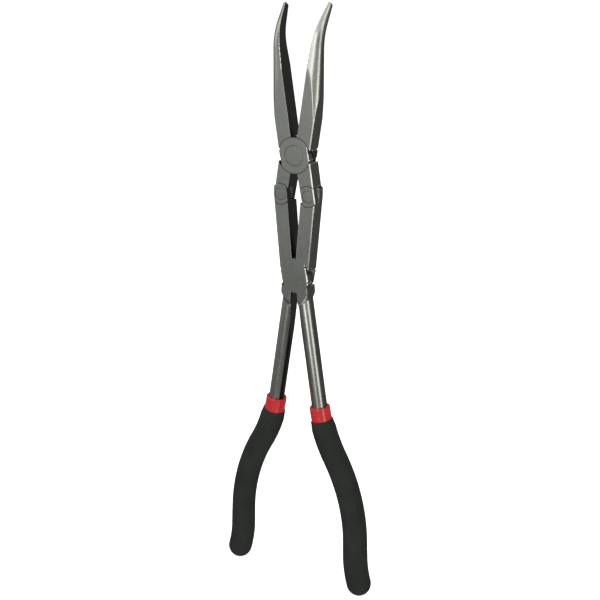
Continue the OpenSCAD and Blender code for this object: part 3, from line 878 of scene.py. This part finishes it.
def steel_material(name, rivet=False):
    """Satin steel. Forgings have attributes that say where it is ground, worn, painted with shade or dirty.
    """
    t = Tree(name)
    t.set("Metallic", 1.0)
    cloud = t.noise(70, 4, 0.6)
    grain = t.noise(2600, 2, 0.6)
    streak = t.noise(420, 3, 0.6, (1.0, 1.0, 0.25))
    grinding = t.noise(1500, 3, 0.6, (0.08, 1.0, 1.0))
    rough = t.sum(t.remap(cloud, *NOISE, 0.24, 0.29), t.remap(streak, *NOISE, -0.02, 0.02))
    ground = t.blend(t.remap(cloud, *NOISE, 0, 1), GROUND_DARK, GROUND_PALE)
    ground = t.blend(t.remap(grain, 0.4, 0.7, 0, 0.35), ground, GROUND_GRAIN)
    ground = t.blend(t.remap(grinding, 0.45, 0.75, 0, 0.4), ground, GROUND_LINE)
    if rivet:
        base = ground
        rough = t.sum(rough, 0.13)
    else:
        base = t.blend(t.remap(cloud, *NOISE, 0, 1), STEEL_DARK, STEEL_PALE)
        base = t.blend(t.remap(grain, 0.45, 0.75, 0, 0.3), base, STEEL_GRAIN)
        flat = t.attribute("flats")
        base = t.blend(flat, base, ground)
        rough = t.sum(rough, t.remap(flat, 0, 1, 0, 0.14))
        wear = t.remap(t.sum(t.attribute("wear"), t.remap(streak, *NOISE, -0.12, 0.12)), 0.3, 0.75, 0, 1)
        # Painted shade: the attribute inner darkens sides that face the other half, seat walls and notches
        # towards a near-black.
        base = t.blend(t.attribute("inner"), base, PAINTED_SHADE_GREY)
        base = t.blend(wear, base, WORN)
        rough = t.sum(rough, t.remap(wear, 0, 1, 0, -0.08))
        base = t.blend(t.remap(t.attribute("seam"), 0.1, 0.9, 0, 0.85), base, DIRT)
    t.to("Base Color", base)
    t.to("Roughness", rough)
    fine = t.bump(grain, 0.10, 0.00002)
    t.to("Normal", t.bump(t.noise(380, 2, 0.5), 0.02, 0.00005, fine))
    return t.material


def red_material():
    """Glossy vinyl, a little uneven as dipping leaves it."""
    t = Tree("red_vinyl")
    cloud = t.noise(150, 3, 0.5)
    t.to("Base Color", t.blend(t.remap(cloud, *NOISE, 0, 1), RED_DARK, RED_PALE))
    t.to("Roughness", t.remap(t.noise(600, 3, 0.5), *NOISE, 0.2, 0.3))
    t.set("Coat Weight", 0.2)
    t.set("Coat Roughness", 0.12)
    t.to("Normal", t.bump(t.noise(180, 2, 0.5), 0.03, 0.00008))
    return t.material


def grip_material():
    """Matt vinyl with a fine grain."""
    t = Tree("black_grip")
    cloud = t.noise(90, 3, 0.55)
    grain = t.noise(3200, 2, 0.6)
    base = t.blend(t.remap(cloud, *NOISE, 0, 1), BLACK_DARK, BLACK_PALE)
    t.to("Base Color", t.blend(t.remap(grain, 0.5, 0.8, 0, 0.5), base, BLACK_GRAIN))
    t.to("Roughness", t.remap(cloud, *NOISE, 0.62, 0.76))
    t.set("Specular IOR Level", 0.22)
    fine = t.bump(grain, 0.5, 0.00006)
    t.to("Normal", t.bump(t.noise(700, 3, 0.5), 0.3, 0.00012, fine))
    return t.material


steel = steel_material("forged_steel")
rivet_steel = steel_material("rivet_steel", rivet=True)
red_vinyl = red_material()
black_grip = grip_material()

BODY_OF = {n: b for b, members in frame["record"]["behaviour"]["bodies"].items() for n in members}


def finish_piece(obj, node, material, stands):
    """Give a piece its material and body; it stands for its CAD node unless it only adds to it."""
    obj.data.materials.append(material)
    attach(obj, BODY_OF[node])
    if stands:
        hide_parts(node)


for pieces, material, slot, stands in (
        (forgings, steel, "forged_steel", True), (tangs, steel, "forged_steel", False),
        (rivets, rivet_steel, "rivet_steel", True), (sleeves, red_vinyl, "red_vinyl", True),
        (grips, black_grip, "black_grip", True)):
    for node, obj in pieces.items():
        finish_piece(obj, node, material, stands)

# ---------------------------------------------------------------- floor and light

MIDDLE = Vector((0.0, HANDLE_PIVOT.y, 0.22))      # what the lights point at
FLOOR_HALF, FLOOR_DARK, FLOOR_PALE, FLOOR_GLOW = 60.0, (0.79, 0.79, 0.79), (0.81, 0.81, 0.81), 0.8
BOX_DISTANCE = 1.5
# Each soft box: azimuth (0 in front, 90 to the right), the degrees of it that the box covers, the
# elevations from which and to which it reaches, and the brightness of its face
SOFT_BOXES = (
    ("softbox_far", -75, 28, 5, 50, 0.9),
    ("softbox_near", -15, 25, 0, 40, 1.45),
    ("front_strip", 4, 18, -8, 40, 2.0),
    ("front_strip_low", 4, 22, -19, -8, 3.1),
    ("high_front", 6, 66, 40, 78, 0.8),
    ("side_strip", 63, 16, 2, 60, 1.9),
    ("side_strip_low", 64, 20, -20, 2, 2.9),
    ("low_front", 25, 60, -85, -40, 0.7),
)
OVERHEAD_DISTANCE, OVERHEAD_SIZE, OVERHEAD_GLOW = 1.6, 2.0, 1.2


def add_floor():
    """A plain pale floor that glows a little, so that it meets the white background unseen."""
    h = FLOOR_HALF
    floor = add_mesh("floor", [(-h, -h, 0), (h, -h, 0), (h, h, 0), (-h, h, 0)],
                     np.array([[0, 1, 2, 3]]), smooth=False)
    t = Tree("floor")
    t.set("Roughness", 0.9)
    t.to("Base Color", t.blend(t.noise(3, 2, 0.5), FLOOR_DARK, FLOOR_PALE))
    t.set("Emission Color", (1, 1, 1, 1))
    t.set("Emission Strength", FLOOR_GLOW)
    floor.data.materials.append(t.material)
    floor.visible_glossy = False
    floor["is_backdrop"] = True


def add_light(name, azimuth, elevation, distance, width, height, radiance, glossy=True):
    """An area light that looks at the tool's middle, as bright as radiance on its face."""
    a, e = math.radians(azimuth), math.radians(elevation)
    toward = Vector((math.sin(a) * math.cos(e), -math.cos(a) * math.cos(e), math.sin(e)))
    data = bpy.data.lights.new(name, "AREA")
    data.shape = "RECTANGLE"
    data.size, data.size_y = width, height
    data.energy = radiance * width * height * math.pi
    light = bpy.data.objects.new(name, data)
    light.matrix_world = toward.to_track_quat("Z", "Y").to_matrix().to_4x4()
    light.location = MIDDLE + distance * toward
    light.visible_camera = False
    light.visible_glossy = glossy
    bpy.context.scene.collection.objects.link(light)


add_floor()
for name, azimuth, span, low, high, radiance in SOFT_BOXES:
    width = 2 * BOX_DISTANCE * math.tan(math.radians(span / 2))
    height = 2 * BOX_DISTANCE * math.tan(math.radians((high - low) / 2))
    add_light(name, azimuth, (low + high) / 2, BOX_DISTANCE, width, height, radiance)
add_light("overhead", 0, 90, OVERHEAD_DISTANCE, OVERHEAD_SIZE, OVERHEAD_SIZE, OVERHEAD_GLOW, glossy=False)

ROOM_FRONT = math.radians(-20)          # azimuth of the middle of the front card
HORIZON = -0.04, 0.12                   # heights of view directions between which below turns to above
CARD_FADE = -0.40, -0.02                # and between which the card goes from its low to its high grey
SIDE_FADE = 0.24, 0.36                  # how far forwards a direction points where the front begins
CARD_LOW, CARD_HIGH, ABOVE_FRONT = 0.12, 0.66, 0.26
DARK_BELOW, DARK_ABOVE = 0.22, 0.33
DIFFUSE_LIGHT, BACKGROUND = 0.5, 1.0


def add_world():
    """White behind the tool. Its reflections see a grey card in front and a dark room elsewhere."""
    world = bpy.data.worlds.new("studio")
    bpy.context.scene.world = world
    world.use_nodes = True
    nodes, links = world.node_tree.nodes, world.node_tree.links
    view = nodes.new("ShaderNodeTexCoord").outputs["Generated"]

    def along(direction, low, high):
        """0 to 1 as the view turns towards a direction."""
        dot = nodes.new("ShaderNodeVectorMath")
        dot.operation = "DOT_PRODUCT"
        dot.inputs[1].default_value = direction
        links.new(view, dot.inputs[0])
        node = nodes.new("ShaderNodeMapRange")
        node.interpolation_type = "SMOOTHSTEP"
        node.inputs["From Min"].default_value, node.inputs["From Max"].default_value = low, high
        links.new(dot.outputs["Value"], node.inputs["Value"])
        return node.outputs["Result"]

    def mix(fac, a, b):
        return mix_colours(nodes, links, fac, a, b)

    up = along((0, 0, 1), *HORIZON)
    card = mix(along((0, 0, 1), *CARD_FADE), CARD_LOW, CARD_HIGH)
    front = mix(up, card, ABOVE_FRONT)
    dark = mix(up, DARK_BELOW, DARK_ABOVE)
    in_front = along((math.sin(ROOM_FRONT), -math.cos(ROOM_FRONT), 0), *SIDE_FADE)
    seen = mix(in_front, dark, front)
    rays = nodes.new("ShaderNodeLightPath")
    seen = mix(rays.outputs["Is Diffuse Ray"], seen, DIFFUSE_LIGHT)
    seen = mix(rays.outputs["Is Camera Ray"], seen, BACKGROUND)
    links.new(seen, nodes["Background"].inputs["Color"])


add_world()
bpy.context.scene.view_settings.view_transform = "Standard"

low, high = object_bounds()
